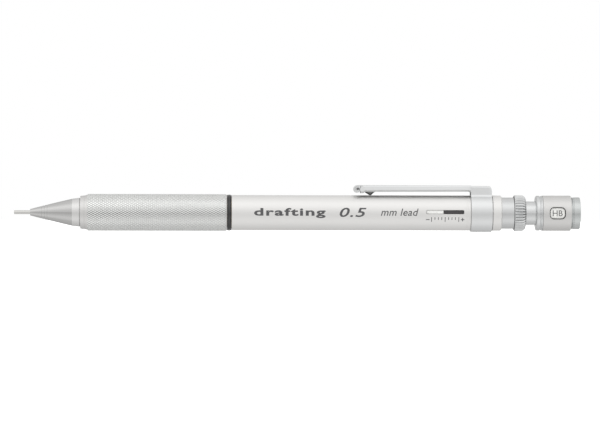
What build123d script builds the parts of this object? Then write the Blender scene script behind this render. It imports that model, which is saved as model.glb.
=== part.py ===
from build123d import *
import os
from math import cos, pi, radians, sin

# Drafting pencil for 0.5 mm leads, with a dial that sets how much lead each push feeds.
# Millimetres. X runs along the pencil from the tip to the cap, Z is up through the clip, and the
# slot and the grade window face -Y. The origin is the tip of the lead sleeve, on the axis.

# --- Driving dimensions -------------------------------------------------------------------------
LEAD_RADIUS = 0.28
FIT = 0.02  # radial gap between a piece and the bore that it is pressed or screwed into
RUN = 0.05  # radial gap between pieces that slide or turn on each other

# Lead sleeve and nose cone
SLEEVE_RADIUS = 0.475
SLEEVE_BORE = LEAD_RADIUS + FIT
SLEEVE_TAIL_RADIUS = 0.63
SLEEVE_END = 8.0
CONE_FRONT = 4.0
CONE_FRONT_RADIUS = 0.8
CONE_MID_RADIUS = 2.145
CONE_BAND = 14.5
CONE_BAND_RADIUS = 3.4
CONE_REAR = 16.45
CONE_REAR_RADIUS = 3.62
CONE_RINGS = (6.9, 7.6, 8.35)
RING_DEPTH = 0.05
SPIGOT_RADIUS = 3.2
SPIGOT_END = 25.0

# Chuck, clutch and spring
RETAINER_RADIUS = 0.93
CHAMBER_FRONT = 10.7
CHAMBER_STOP = 12.2
CHAMBER_RADIUS = 1.85
CHUCK_FRONT = 12.4
CHUCK_CONE_END = 15.2
CHUCK_FRONT_RADIUS = 1.35
CHUCK_STEM_RADIUS = 0.85
CHUCK_END = 40.2
CHUCK_TAIL_RADIUS = 1.0
JAW_SLIT = 0.3
JAW_SLIT_END = 24.0
CLUTCH_FRONT = 13.0
CLUTCH_REAR = 15.4
CLUTCH_RADIUS = 1.75
GUIDE_FRONT = 15.5
GUIDE_STEP = 19.0
GUIDE_SEAT = 20.0
GUIDE_REAR = 44.0
GUIDE_RADIUS = 2.6
GUIDE_BORE = 2.15
SPRING_RADIUS = 1.45
SPRING_WIRE = 0.17
SPRING_TURNS = 9
CONNECTOR_FRONT = 36.1
CONNECTOR_STEP = 42.0
CONNECTOR_REAR = 46.0
CONNECTOR_BORE = 0.6
WORKING_LEAD_FRONT = 2.0
WORKING_LEAD_REAR = 40.0
SPARE_LEAD_FRONT = 48.0
SPARE_LEAD_REAR = 108.0
SPARE_LEAD_SPREAD = 0.62

# Grip, accent ring and barrel
GRIP_FRONT = 16.5
GRIP_FRONT_RADIUS = 4.1
KNURL_FRONT = 18.35
GRIP_RADIUS = 4.55
GRIP_REAR = 53.1
RING_FRONT = 53.15
RING_REAR = 54.2
RING_RADIUS = 4.5
BARREL_FRONT = 54.25
BARREL_REAR = 119.4
BARREL_RADIUS = 4.39
BARREL_BORE = 4.0
COUPLER_FRONT = 42.1
COUPLER_STEP = 46.5
COUPLER_REAR = 68.0
COUPLER_RADIUS = 3.6

# Slot in the barrel, and what shows in it
SLOT_FRONT = 102.75
SLOT_REAR = 112.25
SLOT_WIDTH = 1.15
SLOT_HEIGHT_Z = 0.12
INDICATOR_FRONT = 98.0
INDICATOR_SPLIT = 107.1
INDICATOR_REAR = 115.1

# Clip
BAND_FRONT = 114.1
BAND_REAR = 119.35
BAND_RADIUS = 4.725
CLIP_HALF_WIDTH = 2.0
CLIP_SHEET = 0.3
CLIP_TOP = 6.85
CLIP_UNDERSIDE = 5.2
CLIP_NOSE = 84.8
CLIP_CONTACT = 89.0
CLIP_FOLD_RADIUS = 0.9

# Regulating dial
FERRULE_FRONT = 115.9
FERRULE_MOUTH = 118.7
FERRULE_REAR = 121.8
FERRULE_RADIUS = 4.425
DIAL_THREAD_RADIUS = 3.4
DIAL_STEM_RADIUS = 3.3
DIAL_SMOOTH_RADIUS = 3.925
DIAL_SLEEVE_FRONT = 97.2
DIAL_SLEEVE_REAR = 127.6
DIAL_SHOULDER = 121.3
DIAL_SEAT_RADIUS = 3.5
DIAL_RING_FRONT = 124.9
DIAL_RING_REAR = 127.85
DIAL_RING_RADIUS = 4.5
DIAL_TEETH = 37
TOOTH_DEPTH = 0.22
RETAINING_FRONT = 97.4
RETAINING_REAR = 97.9
RETAINING_RADIUS = 3.8

# Push button and cap
NECK_RADIUS = 2.95
NECK_FRONT = 112.0
NECK_REAR = 134.5
LEAD_TUBE_RADIUS = 1.9
LEAD_TUBE_BORE = 1.55
LEAD_TUBE_FRONT = 42.05
LEAD_TUBE_REAR = 126.0
ERASER_RADIUS = 2.3
ERASER_FRONT = 128.2
ERASER_REAR = 137.2
CAP_FRONT = 130.4
CAP_GROOVE = 131.55
CAP_STEP = 132.1
CAP_REAR = 139.2
CAP_RADIUS = 4.425
CAP_BORE = 4.0
LINER_FRONT = 131.0
LINER_REAR = 138.2
LINER_RADIUS = 3.35
WINDOW_CENTRE = 135.65
WINDOW_LENGTH = 3.8
WINDOW_WIDTH = 2.95
WINDOW_CORNER = 0.9
KNOB_FRONT = 139.5
KNOB_REAR = 141.45
KNOB_RADIUS = 4.0


# --- Shapes used many times ---------------------------------------------------------------------
def turned(*corners):
    """A solid turned about the X axis from its (x, radius) corners."""
    outline = Polyline(*corners, close=True)
    return revolve(Plane.XZ * make_face(outline), Axis.X, 360)


def tube(front, rear, radius, bore, chamfer_size=0.0):
    """A plain tube along X, with its two outer edges broken."""
    c = chamfer_size
    if c == 0.0:
        return turned((front, bore), (rear, bore), (rear, radius), (front, radius))
    return turned(
        (front, bore),
        (rear, bore),
        (rear, radius - c),
        (rear - c, radius),
        (front + c, radius),
        (front, radius - c),
    )


def rod(front, rear, radius, chamfer_size=0.0):
    """A plain round rod along X."""
    c = chamfer_size
    if c == 0.0:
        return turned((front, 0), (rear, 0), (rear, radius), (front, radius))
    return turned(
        (front, 0),
        (rear, 0),
        (rear, radius - c),
        (rear - c, radius),
        (front + c, radius),
        (front, radius - c),
    )


def side_plate(corners, half_width):
    """A plate from its (x, z) corners, centred on the XZ plane."""
    outline = Polyline(*corners, close=True)
    return extrude(Plane.XZ * make_face(outline), half_width, both=True)


def side_opening(centre_x, centre_z, length, width, corner, reach):
    """A cutter with round corners that enters a tube wall from -Y."""
    sketch = RectangleRounded(length, width, corner)
    entry = Plane(origin=(centre_x, 0, centre_z), x_dir=(1, 0, 0), z_dir=(0, -1, 0))
    return extrude(entry * sketch, reach)


# --- Nose ---------------------------------------------------------------------------------------
def make_lead_sleeve():
    """The thin guide tube, with a thicker tail that is pressed into the cone."""
    lip = 0.08
    return turned(
        (0.0, SLEEVE_BORE),
        (SLEEVE_END, SLEEVE_BORE),
        (SLEEVE_END, SLEEVE_TAIL_RADIUS),
        (CONE_FRONT, SLEEVE_TAIL_RADIUS),
        (CONE_FRONT, SLEEVE_RADIUS),
        (lip, SLEEVE_RADIUS),
        (0.0, SLEEVE_RADIUS - lip),
    )


def make_lead_retainer():
    return tube(SLEEVE_END + 0.1, CHAMBER_FRONT - 0.4, RETAINER_RADIUS, SLEEVE_BORE)


def cone_outline():
    """The slightly bulging cone, its rear band, and the bored inside, as one closed outline."""
    nose = ThreePointArc(
        (CONE_FRONT, CONE_FRONT_RADIUS),
        ((CONE_FRONT + CONE_BAND) / 2, CONE_MID_RADIUS),
        (CONE_BAND, CONE_BAND_RADIUS),
    )
    rest = Polyline(
        (CONE_BAND, CONE_BAND_RADIUS),
        (CONE_REAR - 0.2, CONE_REAR_RADIUS),
        (CONE_REAR, CONE_REAR_RADIUS - 0.12),
        (CONE_REAR, SPIGOT_RADIUS),
        (SPIGOT_END, SPIGOT_RADIUS),
        (SPIGOT_END, GUIDE_RADIUS + FIT),
        (GUIDE_STEP, GUIDE_RADIUS + FIT),
        (GUIDE_STEP, CHAMBER_RADIUS),
        (CHAMBER_STOP, CHAMBER_RADIUS),
        (CHAMBER_STOP, CHUCK_FRONT_RADIUS + 0.15),
        (CHAMBER_FRONT, CHUCK_FRONT_RADIUS + 0.15),
        (CHAMBER_FRONT, RETAINER_RADIUS + FIT),
        (SLEEVE_END, RETAINER_RADIUS + FIT),
        (SLEEVE_END, SLEEVE_TAIL_RADIUS + FIT),
        (CONE_FRONT, SLEEVE_TAIL_RADIUS + FIT),
        (CONE_FRONT, CONE_FRONT_RADIUS),
    )
    return make_face(nose + rest)


def make_nose_cone():
    cone = revolve(Plane.XZ * cone_outline(), Axis.X, 360)
    slope = (CONE_BAND_RADIUS - CONE_FRONT_RADIUS) / (CONE_BAND - CONE_FRONT)
    for x in CONE_RINGS:
        surface = CONE_FRONT_RADIUS + slope * (x - CONE_FRONT)
        cone -= tube(x, x + 2 * RING_DEPTH, surface + 1.0, surface - RING_DEPTH / 2)
    return cone


# --- Chuck unit ---------------------------------------------------------------------------------
def chuck_cone_radius(x):
    """Radius of the closed chuck's cone, which narrows towards the stem."""
    share = (x - CHUCK_FRONT) / (CHUCK_CONE_END - CHUCK_FRONT)
    return CHUCK_FRONT_RADIUS + share * (CHUCK_TAIL_RADIUS - CHUCK_FRONT_RADIUS)


def make_chuck():
    """A three-jaw collet: slit cone, slim stem, and a thicker tail that is pressed into the connector."""
    bore = LEAD_RADIUS + 0.01
    chuck = turned(
        (CHUCK_FRONT, bore),
        (CHUCK_END, bore),
        (CHUCK_END, CHUCK_TAIL_RADIUS),
        (CONNECTOR_FRONT, CHUCK_TAIL_RADIUS),
        (CONNECTOR_FRONT, CHUCK_STEM_RADIUS),
        (CHUCK_CONE_END, CHUCK_STEM_RADIUS),
        (CHUCK_CONE_END, CHUCK_TAIL_RADIUS),
        (CHUCK_FRONT + 0.2, chuck_cone_radius(CHUCK_FRONT + 0.2)),
        (CHUCK_FRONT, CHUCK_FRONT_RADIUS - 0.2),
    )
    slit_length = JAW_SLIT_END - CHUCK_FRONT + 1.0
    slit = Pos(CHUCK_FRONT - 1.0 + slit_length / 2, 0, 1.0) * Box(slit_length, JAW_SLIT, 2.0)
    for jaw in range(3):
        chuck -= Rot(120 * jaw, 0, 0) * slit
    return chuck


def make_clutch_ring():
    """The ring that holds the jaws shut, with a bore that follows the chuck's cone."""
    return turned(
        (CLUTCH_FRONT, chuck_cone_radius(CLUTCH_FRONT) + RUN),
        (CLUTCH_REAR, chuck_cone_radius(CLUTCH_REAR) + RUN),
        (CLUTCH_REAR, CLUTCH_RADIUS),
        (CLUTCH_FRONT, CLUTCH_RADIUS),
    )


def make_chuck_guide():
    stem_bore = CHUCK_STEM_RADIUS + RUN
    return turned(
        (GUIDE_FRONT, stem_bore),
        (GUIDE_SEAT, stem_bore),
        (GUIDE_SEAT, GUIDE_BORE),
        (GUIDE_REAR, GUIDE_BORE),
        (GUIDE_REAR, GUIDE_RADIUS),
        (GUIDE_STEP + FIT, GUIDE_RADIUS),
        (GUIDE_STEP + FIT, CHAMBER_RADIUS - FIT),
        (GUIDE_FRONT, CHAMBER_RADIUS - FIT),
    )


def make_return_spring():
    """A coil around the chuck's stem, from the guide's seat to the connector."""
    front = GUIDE_SEAT + SPRING_WIRE + 0.03
    rear = CONNECTOR_FRONT - SPRING_WIRE - 0.03
    length = rear - front
    coil = Helix(pitch=length / SPRING_TURNS, height=length, radius=SPRING_RADIUS)
    coil = Pos(front, 0, 0) * Rot(0, 90, 0) * coil
    section = Plane(origin=coil @ 0, z_dir=coil % 0) * Circle(SPRING_WIRE)
    return sweep(section, path=coil, is_frenet=True)


def make_chuck_connector():
    return turned(
        (CONNECTOR_FRONT, CHUCK_TAIL_RADIUS + FIT),
        (CHUCK_END + FIT, CHUCK_TAIL_RADIUS + FIT),
        (CHUCK_END + FIT, CONNECTOR_BORE),
        (CONNECTOR_REAR, CONNECTOR_BORE),
        (CONNECTOR_REAR, LEAD_TUBE_BORE - FIT),
        (CONNECTOR_STEP, LEAD_TUBE_BORE - FIT),
        (CONNECTOR_STEP, GUIDE_BORE - RUN),
        (CONNECTOR_FRONT, GUIDE_BORE - RUN),
    )


def make_working_lead():
    return rod(WORKING_LEAD_FRONT, WORKING_LEAD_REAR, LEAD_RADIUS)


def make_spare_leads():
    """Three spare leads that lie together in the reservoir."""
    lead = rod(SPARE_LEAD_FRONT, SPARE_LEAD_REAR, LEAD_RADIUS)
    leads = []
    for number in range(3):
        angle = radians(90 + 120 * number)
        leads.append(Pos(0, SPARE_LEAD_SPREAD * cos(angle), SPARE_LEAD_SPREAD * sin(angle)) * lead)
    return Compound(children=leads)


# --- Grip and barrel ----------------------------------------------------------------------------
def make_grip():
    return turned(
        (GRIP_FRONT, SPIGOT_RADIUS + FIT),
        (COUPLER_FRONT, SPIGOT_RADIUS + FIT),
        (COUPLER_FRONT, COUPLER_RADIUS + FIT),
        (GRIP_REAR, COUPLER_RADIUS + FIT),
        (GRIP_REAR, GRIP_RADIUS),
        (KNURL_FRONT, GRIP_RADIUS),
        (KNURL_FRONT, GRIP_RADIUS - 0.22),
        (GRIP_FRONT, GRIP_FRONT_RADIUS),
    )


def make_accent_ring():
    """A ring with a slightly crowned edge."""
    middle = (RING_FRONT + RING_REAR) / 2
    bore = COUPLER_RADIUS + FIT
    edge = RING_RADIUS - 0.08
    front_edge = ((RING_FRONT, edge), (RING_FRONT, bore))
    return turned(*front_edge, (RING_REAR, bore), (RING_REAR, edge), (middle, RING_RADIUS))


def make_coupler():
    """The joiner that screws grip and barrel together and holds the guide's rear end."""
    inside = GUIDE_RADIUS + FIT
    return turned(
        (COUPLER_FRONT, inside),
        (COUPLER_STEP, inside),
        (COUPLER_STEP, LEAD_TUBE_RADIUS + 0.3),
        (COUPLER_REAR, LEAD_TUBE_RADIUS + 0.3),
        (COUPLER_REAR, BARREL_BORE - FIT),
        (BARREL_FRONT - 0.05, BARREL_BORE - FIT),
        (BARREL_FRONT - 0.05, COUPLER_RADIUS),
        (COUPLER_FRONT, COUPLER_RADIUS),
    )


def make_barrel_tube():
    barrel = tube(BARREL_FRONT, BARREL_REAR, BARREL_RADIUS, BARREL_BORE, 0.15)
    centre = (SLOT_FRONT + SLOT_REAR) / 2
    length = SLOT_REAR - SLOT_FRONT
    return barrel - side_opening(centre, SLOT_HEIGHT_Z, length, SLOT_WIDTH, 0.25, BARREL_RADIUS + 1.0)


# --- Clip ---------------------------------------------------------------------------------------
def clip_side():
    """Side view of the clip: rounded nose, straight arm, and the riser that runs down to the band."""
    return (
        (CLIP_NOSE, 5.9),
        (CLIP_NOSE + 0.12, 5.2),
        (CLIP_NOSE + 0.6, 4.85),
        (CLIP_NOSE + 2.1, 4.8),
        (CLIP_NOSE + 2.6, CLIP_UNDERSIDE),
        (BAND_FRONT - 0.5, CLIP_UNDERSIDE + 0.1),
        (BAND_FRONT - 0.1, CLIP_UNDERSIDE),
        (BAND_FRONT, CLIP_UNDERSIDE - 0.4),
        (BAND_FRONT, 3.9),
        (BAND_REAR, 3.9),
        (BAND_REAR, CLIP_TOP - 0.6),
        (BAND_REAR - 0.3, CLIP_TOP - 0.3),
        (BAND_REAR - 0.9, CLIP_TOP - 0.15),
        (CLIP_NOSE + 1.2, CLIP_TOP),
        (CLIP_NOSE + 0.4, CLIP_TOP - 0.25),
    )


def clip_hollow():
    """The space between the clip's two side walls, open underneath."""
    front = CLIP_NOSE + 2.9
    top = CLIP_TOP - CLIP_SHEET
    rear = BAND_REAR - CLIP_SHEET
    corners = ((front, 3.0), (rear, 3.0), (rear, top - 0.15), (front, top))
    return side_plate(corners, CLIP_HALF_WIDTH - CLIP_SHEET)


def fold_fillet(side):
    """The concave fold between the band and one side wall of the riser."""
    centre_y = CLIP_HALF_WIDTH + CLIP_FOLD_RADIUS
    reach = BAND_RADIUS + CLIP_FOLD_RADIUS
    centre_z = (reach**2 - centre_y**2) ** 0.5
    touch = BAND_RADIUS / reach
    wall = CLIP_HALF_WIDTH - CLIP_SHEET / 2
    corners = (
        (BAND_FRONT, side * wall, centre_z),
        (BAND_FRONT, side * centre_y, centre_z),
        (BAND_FRONT, side * centre_y * touch, centre_z * touch),
        (BAND_FRONT, side * wall, centre_z * touch - 0.3),
    )
    length = BAND_REAR - BAND_FRONT
    block = extrude(make_face(Polyline(*corners, close=True)), length, dir=(1, 0, 0))
    roller = Rot(0, 90, 0) * Cylinder(CLIP_FOLD_RADIUS, length + 1.0)
    return block - Pos(BAND_FRONT + length / 2, side * centre_y, centre_z) * roller


def clip_contact():
    """The pressed lug near the nose that rests on the barrel."""
    gap = 0.03
    corners = (
        (CLIP_CONTACT - 1.5, CLIP_TOP - CLIP_SHEET),
        (CLIP_CONTACT - 1.5, CLIP_UNDERSIDE),
        (CLIP_CONTACT - 0.25, BARREL_RADIUS + gap),
        (CLIP_CONTACT + 0.15, BARREL_RADIUS + gap),
        (CLIP_CONTACT + 1.3, CLIP_UNDERSIDE),
        (CLIP_CONTACT + 1.6, CLIP_TOP - CLIP_SHEET),
    )
    return side_plate(corners, CLIP_HALF_WIDTH - CLIP_SHEET)


def make_clip():
    """Arm, riser and wrap-round band, folded from one sheet."""
    clip = side_plate(clip_side(), CLIP_HALF_WIDTH) - clip_hollow() + clip_contact()
    clip += tube(BAND_FRONT, BAND_REAR, BAND_RADIUS, BARREL_RADIUS + FIT, 0.12)
    for side in (-1, 1):
        clip += fold_fillet(side)
    return clip - rod(BAND_FRONT - 1.0, BAND_REAR + 1.0, BARREL_RADIUS + FIT)


# --- Regulating dial ----------------------------------------------------------------------------
def make_rear_ferrule():
    """The barrel's rear ring. Its spigot is the nut for the dial, and its mouth takes the dial's stem."""
    spigot = BARREL_BORE - FIT
    nut = DIAL_THREAD_RADIUS + RUN
    mouth = DIAL_SMOOTH_RADIUS + RUN
    return turned(
        (FERRULE_FRONT, nut),
        (FERRULE_MOUTH, nut),
        (FERRULE_MOUTH, mouth),
        (FERRULE_REAR, mouth),
        (FERRULE_REAR, FERRULE_RADIUS - 0.2),
        (FERRULE_REAR - 0.2, FERRULE_RADIUS),
        (BARREL_REAR + FIT, FERRULE_RADIUS),
        (BARREL_REAR + FIT, spigot),
        (FERRULE_FRONT, spigot),
    )


def make_dial_sleeve():
    inside = NECK_RADIUS + RUN
    return turned(
        (DIAL_SLEEVE_FRONT, inside),
        (DIAL_SLEEVE_REAR, inside),
        (DIAL_SLEEVE_REAR, DIAL_SEAT_RADIUS),
        (DIAL_RING_FRONT, DIAL_SEAT_RADIUS),
        (DIAL_RING_FRONT, DIAL_SMOOTH_RADIUS),
        (DIAL_SHOULDER, DIAL_SMOOTH_RADIUS),
        (DIAL_SHOULDER, DIAL_THREAD_RADIUS),
        (INDICATOR_REAR + 0.05, DIAL_THREAD_RADIUS),
        (INDICATOR_REAR + 0.05, DIAL_STEM_RADIUS),
        (DIAL_SLEEVE_FRONT, DIAL_STEM_RADIUS),
    )


def make_dial_ring():
    """The finger ring: a small round at the front, a long slope at the rear, and axial teeth."""
    ring = turned(
        (DIAL_RING_FRONT, DIAL_SEAT_RADIUS + FIT),
        (DIAL_RING_REAR, DIAL_SEAT_RADIUS + FIT),
        (DIAL_RING_REAR, DIAL_SEAT_RADIUS + 0.1),
        (DIAL_RING_REAR - 0.15, 3.95),
        (DIAL_RING_REAR - 1.1, DIAL_RING_RADIUS),
        (DIAL_RING_FRONT + 0.35, DIAL_RING_RADIUS),
        (DIAL_RING_FRONT + 0.05, DIAL_RING_RADIUS - 0.2),
        (DIAL_RING_FRONT, DIAL_RING_RADIUS - 0.45),
    )
    front = DIAL_RING_FRONT + 0.55
    root = DIAL_RING_RADIUS - TOOTH_DEPTH
    half_groove = pi * DIAL_RING_RADIUS / DIAL_TEETH * 0.6
    groove_corners = (
        (front, 0, root),
        (front, -half_groove, DIAL_RING_RADIUS + 0.1),
        (front, half_groove, DIAL_RING_RADIUS + 0.1),
    )
    groove = extrude(make_face(Polyline(*groove_corners, close=True)), 4.0, dir=(1, 0, 0))
    for tooth in range(DIAL_TEETH):
        ring -= Rot(360 * tooth / DIAL_TEETH, 0, 0) * groove
    return ring


def make_retaining_ring():
    return tube(RETAINING_FRONT, RETAINING_REAR, RETAINING_RADIUS, DIAL_STEM_RADIUS + FIT)


def make_indicator_sleeve():
    return tube(INDICATOR_FRONT, INDICATOR_SPLIT, BARREL_BORE - RUN, DIAL_STEM_RADIUS + RUN)


def make_indicator_band():
    return tube(INDICATOR_SPLIT, INDICATOR_REAR, BARREL_BORE - RUN, DIAL_STEM_RADIUS + RUN)


# --- Push button and cap ------------------------------------------------------------------------
def make_lead_tube():
    return tube(LEAD_TUBE_FRONT, LEAD_TUBE_REAR, LEAD_TUBE_RADIUS, LEAD_TUBE_BORE)


def make_button_neck():
    """The visible push tube, pressed on the reservoir and bored for the eraser."""
    return turned(
        (NECK_FRONT, LEAD_TUBE_RADIUS + FIT),
        (LEAD_TUBE_REAR + FIT, LEAD_TUBE_RADIUS + FIT),
        (LEAD_TUBE_REAR + FIT, LEAD_TUBE_BORE),
        (ERASER_FRONT - FIT, LEAD_TUBE_BORE),
        (ERASER_FRONT - FIT, ERASER_RADIUS + FIT),
        (NECK_REAR, ERASER_RADIUS + FIT),
        (NECK_REAR, NECK_RADIUS),
        (NECK_FRONT, NECK_RADIUS),
    )


def make_eraser():
    return rod(ERASER_FRONT, ERASER_REAR, ERASER_RADIUS, 0.2)


def make_cap_collar():
    """The cap's front ring: a round bead, a groove, a thin rib, and the step that the shell sits on."""
    bead_radius = CAP_RADIUS - 0.05
    return turned(
        (CAP_FRONT, NECK_RADIUS + RUN),
        (LINER_FRONT - FIT, NECK_RADIUS + RUN),
        (LINER_FRONT - FIT, LINER_RADIUS + FIT),
        (CAP_STEP + 0.3, LINER_RADIUS + FIT),
        (CAP_STEP + 0.3, CAP_BORE - FIT),
        (CAP_STEP, CAP_BORE - FIT),
        (CAP_STEP, bead_radius - 0.1),
        (CAP_STEP - 0.1, bead_radius),
        (CAP_GROOVE + 0.25, bead_radius),
        (CAP_GROOVE + 0.1, bead_radius - 0.15),
        (CAP_GROOVE - 0.1, bead_radius - 0.15),
        (CAP_GROOVE - 0.2, bead_radius),
        (CAP_FRONT + 0.6, bead_radius),
        (CAP_FRONT + 0.28, bead_radius - 0.12),
        (CAP_FRONT + 0.08, bead_radius - 0.4),
        (CAP_FRONT, bead_radius - 0.8),
    )


def make_cap_liner():
    return tube(LINER_FRONT, LINER_REAR, LINER_RADIUS, NECK_RADIUS + RUN)


def make_cap_sleeve():
    shell = tube(CAP_STEP + FIT, CAP_REAR, CAP_RADIUS, CAP_BORE, 0.12)
    window = side_opening(WINDOW_CENTRE, 0.0, WINDOW_LENGTH, WINDOW_WIDTH, WINDOW_CORNER, CAP_RADIUS + 1.0)
    return shell - window


def make_grade_drum():
    return tube(CAP_STEP + 0.35, CAP_REAR - 0.55, CAP_BORE - RUN, LINER_RADIUS + RUN)


def make_end_knob():
    """The knob that turns the drum: a spigot inside the shell and a disc behind it."""
    spigot = CAP_BORE - RUN
    return turned(
        (CAP_REAR - 0.55, 0),
        (KNOB_REAR, 0),
        (KNOB_REAR, KNOB_RADIUS - 0.15),
        (KNOB_REAR - 0.15, KNOB_RADIUS),
        (KNOB_FRONT + 0.35, KNOB_RADIUS),
        (KNOB_FRONT + 0.3, KNOB_RADIUS - 0.08),
        (KNOB_FRONT + 0.2, KNOB_RADIUS - 0.08),
        (KNOB_FRONT + 0.15, KNOB_RADIUS),
        (KNOB_FRONT, KNOB_RADIUS),
        (KNOB_FRONT, spigot - 0.25),
        (CAP_REAR, spigot - 0.25),
        (CAP_REAR - 0.1, spigot),
        (CAP_REAR - 0.55, spigot),
    )


# --- Export -------------------------------------------------------------------------------------
NODES = {
    "lead_sleeve": make_lead_sleeve,
    "lead_retainer": make_lead_retainer,
    "nose_cone": make_nose_cone,
    "chuck": make_chuck,
    "clutch_ring": make_clutch_ring,
    "chuck_guide": make_chuck_guide,
    "return_spring": make_return_spring,
    "chuck_connector": make_chuck_connector,
    "working_lead": make_working_lead,
    "spare_leads": make_spare_leads,
    "grip": make_grip,
    "accent_ring": make_accent_ring,
    "coupler": make_coupler,
    "barrel_tube": make_barrel_tube,
    "clip": make_clip,
    "rear_ferrule": make_rear_ferrule,
    "dial_sleeve": make_dial_sleeve,
    "dial_ring": make_dial_ring,
    "retaining_ring": make_retaining_ring,
    "indicator_sleeve": make_indicator_sleeve,
    "indicator_band": make_indicator_band,
    "lead_tube": make_lead_tube,
    "button_neck": make_button_neck,
    "eraser": make_eraser,
    "cap_collar": make_cap_collar,
    "cap_liner": make_cap_liner,
    "cap_sleeve": make_cap_sleeve,
    "grade_drum": make_grade_drum,
    "end_knob": make_end_knob,
}

os.makedirs("parts", exist_ok=True)
for node, make in NODES.items():
    export_step(make(), f"parts/{node}.step")
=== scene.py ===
import math

import bmesh
import bpy
from mathutils import Matrix, Vector


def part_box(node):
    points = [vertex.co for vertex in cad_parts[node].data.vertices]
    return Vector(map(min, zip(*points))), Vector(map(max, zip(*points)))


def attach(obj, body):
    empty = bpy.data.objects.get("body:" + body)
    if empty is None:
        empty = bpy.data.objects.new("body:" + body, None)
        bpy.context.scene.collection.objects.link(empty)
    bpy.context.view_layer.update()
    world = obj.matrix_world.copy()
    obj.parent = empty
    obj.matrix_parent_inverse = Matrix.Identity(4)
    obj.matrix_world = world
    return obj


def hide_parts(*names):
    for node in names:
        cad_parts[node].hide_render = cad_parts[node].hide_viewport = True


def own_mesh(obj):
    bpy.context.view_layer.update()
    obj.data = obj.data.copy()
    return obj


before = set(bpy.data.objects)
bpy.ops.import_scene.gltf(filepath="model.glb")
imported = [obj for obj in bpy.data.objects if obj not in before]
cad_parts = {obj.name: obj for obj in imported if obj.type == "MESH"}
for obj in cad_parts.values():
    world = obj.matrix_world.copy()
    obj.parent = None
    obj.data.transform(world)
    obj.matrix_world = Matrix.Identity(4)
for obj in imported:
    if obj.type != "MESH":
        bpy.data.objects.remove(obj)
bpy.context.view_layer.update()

# A drafting pencil along X. Shapes are written in millimetres and stored in metres. Each visible
# node is remade with rounded edges and real surface relief, between the ends that its CAD box gives.
MM = 0.001
ROUND = 0.05  # the radius of an ordinary machined edge
SEGMENTS = 160  # round the axis
CORNER_STEPS = 4  # faces in each rounded corner
BAND_LENGTH = 5.25  # the clip's band along the barrel
KNURL_LENGTH = 34.75
WINDOW_SETBACK = 3.55  # from the cap shell's rear edge to the middle of its window
SLOT_SETBACKS = (16.65, 7.15)  # the indicator slot's ends, before the barrel's rear end
SEAT_BORE = 3.62  # the grip's rear bore and the black ring's, round the coupler


# --- Measures read from the frame ---
def span(node):
    """A node's two ends along X, in millimetres."""
    low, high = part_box(node)
    return low[0] / MM, high[0] / MM


def slot_ends():
    """The indicator slot's two ends along X."""
    rear = span("barrel_tube")[1]
    return [rear - setback for setback in SLOT_SETBACKS]


def radius_of(node):
    """A round node's outer radius, in millimetres, from its lowest point."""
    return -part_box(node)[0][2] / MM


def measures(node):
    """A round node's two ends and its outer radius, in millimetres."""
    return *span(node), radius_of(node)


# --- Mesh making ---
def finish_mesh(name, bm, sharp=32.0):
    """Turns a bmesh in millimetres into an object with smooth faces and kept corners."""
    bmesh.ops.remove_doubles(bm, verts=bm.verts, dist=1e-5)
    bmesh.ops.recalc_face_normals(bm, faces=bm.faces)
    mesh = bpy.data.meshes.new(name)
    bm.to_mesh(mesh)
    bm.free()
    mesh.transform(Matrix.Scale(MM, 4))
    mesh.shade_smooth()
    mesh.set_sharp_from_angle(angle=math.radians(sharp))
    piece = bpy.data.objects.new(name, mesh)
    bpy.context.scene.collection.objects.link(piece)
    weigh = piece.modifiers.new("even shading", "WEIGHTED_NORMAL")
    weigh.keep_sharp = True
    return piece


def rounded(corners, radius=ROUND):
    """Rounds the corners of a closed outline. A corner may carry its own radius as a third number."""
    outline = []
    count = len(corners)
    for i, corner in enumerate(corners):
        here = Vector(corner[:2])
        before = Vector(corners[i - 1][:2]) - here
        after = Vector(corners[(i + 1) % count][:2]) - here
        wanted = corner[2] if len(corner) > 2 else radius
        half = before.angle(after) / 2
        if wanted == 0 or half > math.radians(88):
            outline.append(tuple(here))
            continue
        reach = min(wanted / math.tan(half), 0.45 * before.length, 0.45 * after.length)
        start = here + before.normalized() * reach
        end = here + after.normalized() * reach
        for step in range(CORNER_STEPS + 1):
            t = step / CORNER_STEPS
            outline.append(tuple((1 - t) ** 2 * start + 2 * t * (1 - t) * here + t * t * end))
    return outline


def on_axis(x, radius, angle):
    """A point round the X axis. Angle 0 faces -Y, and a quarter turn faces +Z."""
    return x, -radius * math.cos(angle), radius * math.sin(angle)


def skin(bm, rings, closed_across=True, finish=0):
    """Quads between neighbouring rings of vertices, each ring closed on itself."""
    pairs = zip(rings, rings[1:] + rings[:1]) if closed_across else zip(rings, rings[1:])
    for ring, following in pairs:
        count = len(ring)
        for i in range(count):
            j = (i + 1) % count
            corners = (ring[i], ring[j], following[j], following[i])
            distinct = list(dict.fromkeys(corners))
            if len(distinct) > 2:
                bm.faces.new(distinct).material_index = finish


def turned(name, outline, segments=SEGMENTS, sharp=32.0):
    """A piece turned about the X axis from a closed (x, radius) outline."""
    bm = bmesh.new()
    rings = []
    for x, radius in outline:
        if radius < 1e-4:
            rings.append([bm.verts.new((x, 0, 0))] * segments)
            continue
        ring = [bm.verts.new(on_axis(x, radius, math.tau * i / segments)) for i in range(segments)]
        rings.append(ring)
    skin(bm, rings)
    return finish_mesh(name, bm, sharp)


def loft(name, loops, sharp=32.0):
    """A closed skin through equal loops of (x, y, z) points, with both ends capped."""
    bm = bmesh.new()
    rings = [[bm.verts.new(point) for point in loop] for loop in loops]
    skin(bm, rings, closed_across=False)
    bm.faces.new(rings[0])
    bm.faces.new(rings[-1])
    return finish_mesh(name, bm, sharp)


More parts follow.
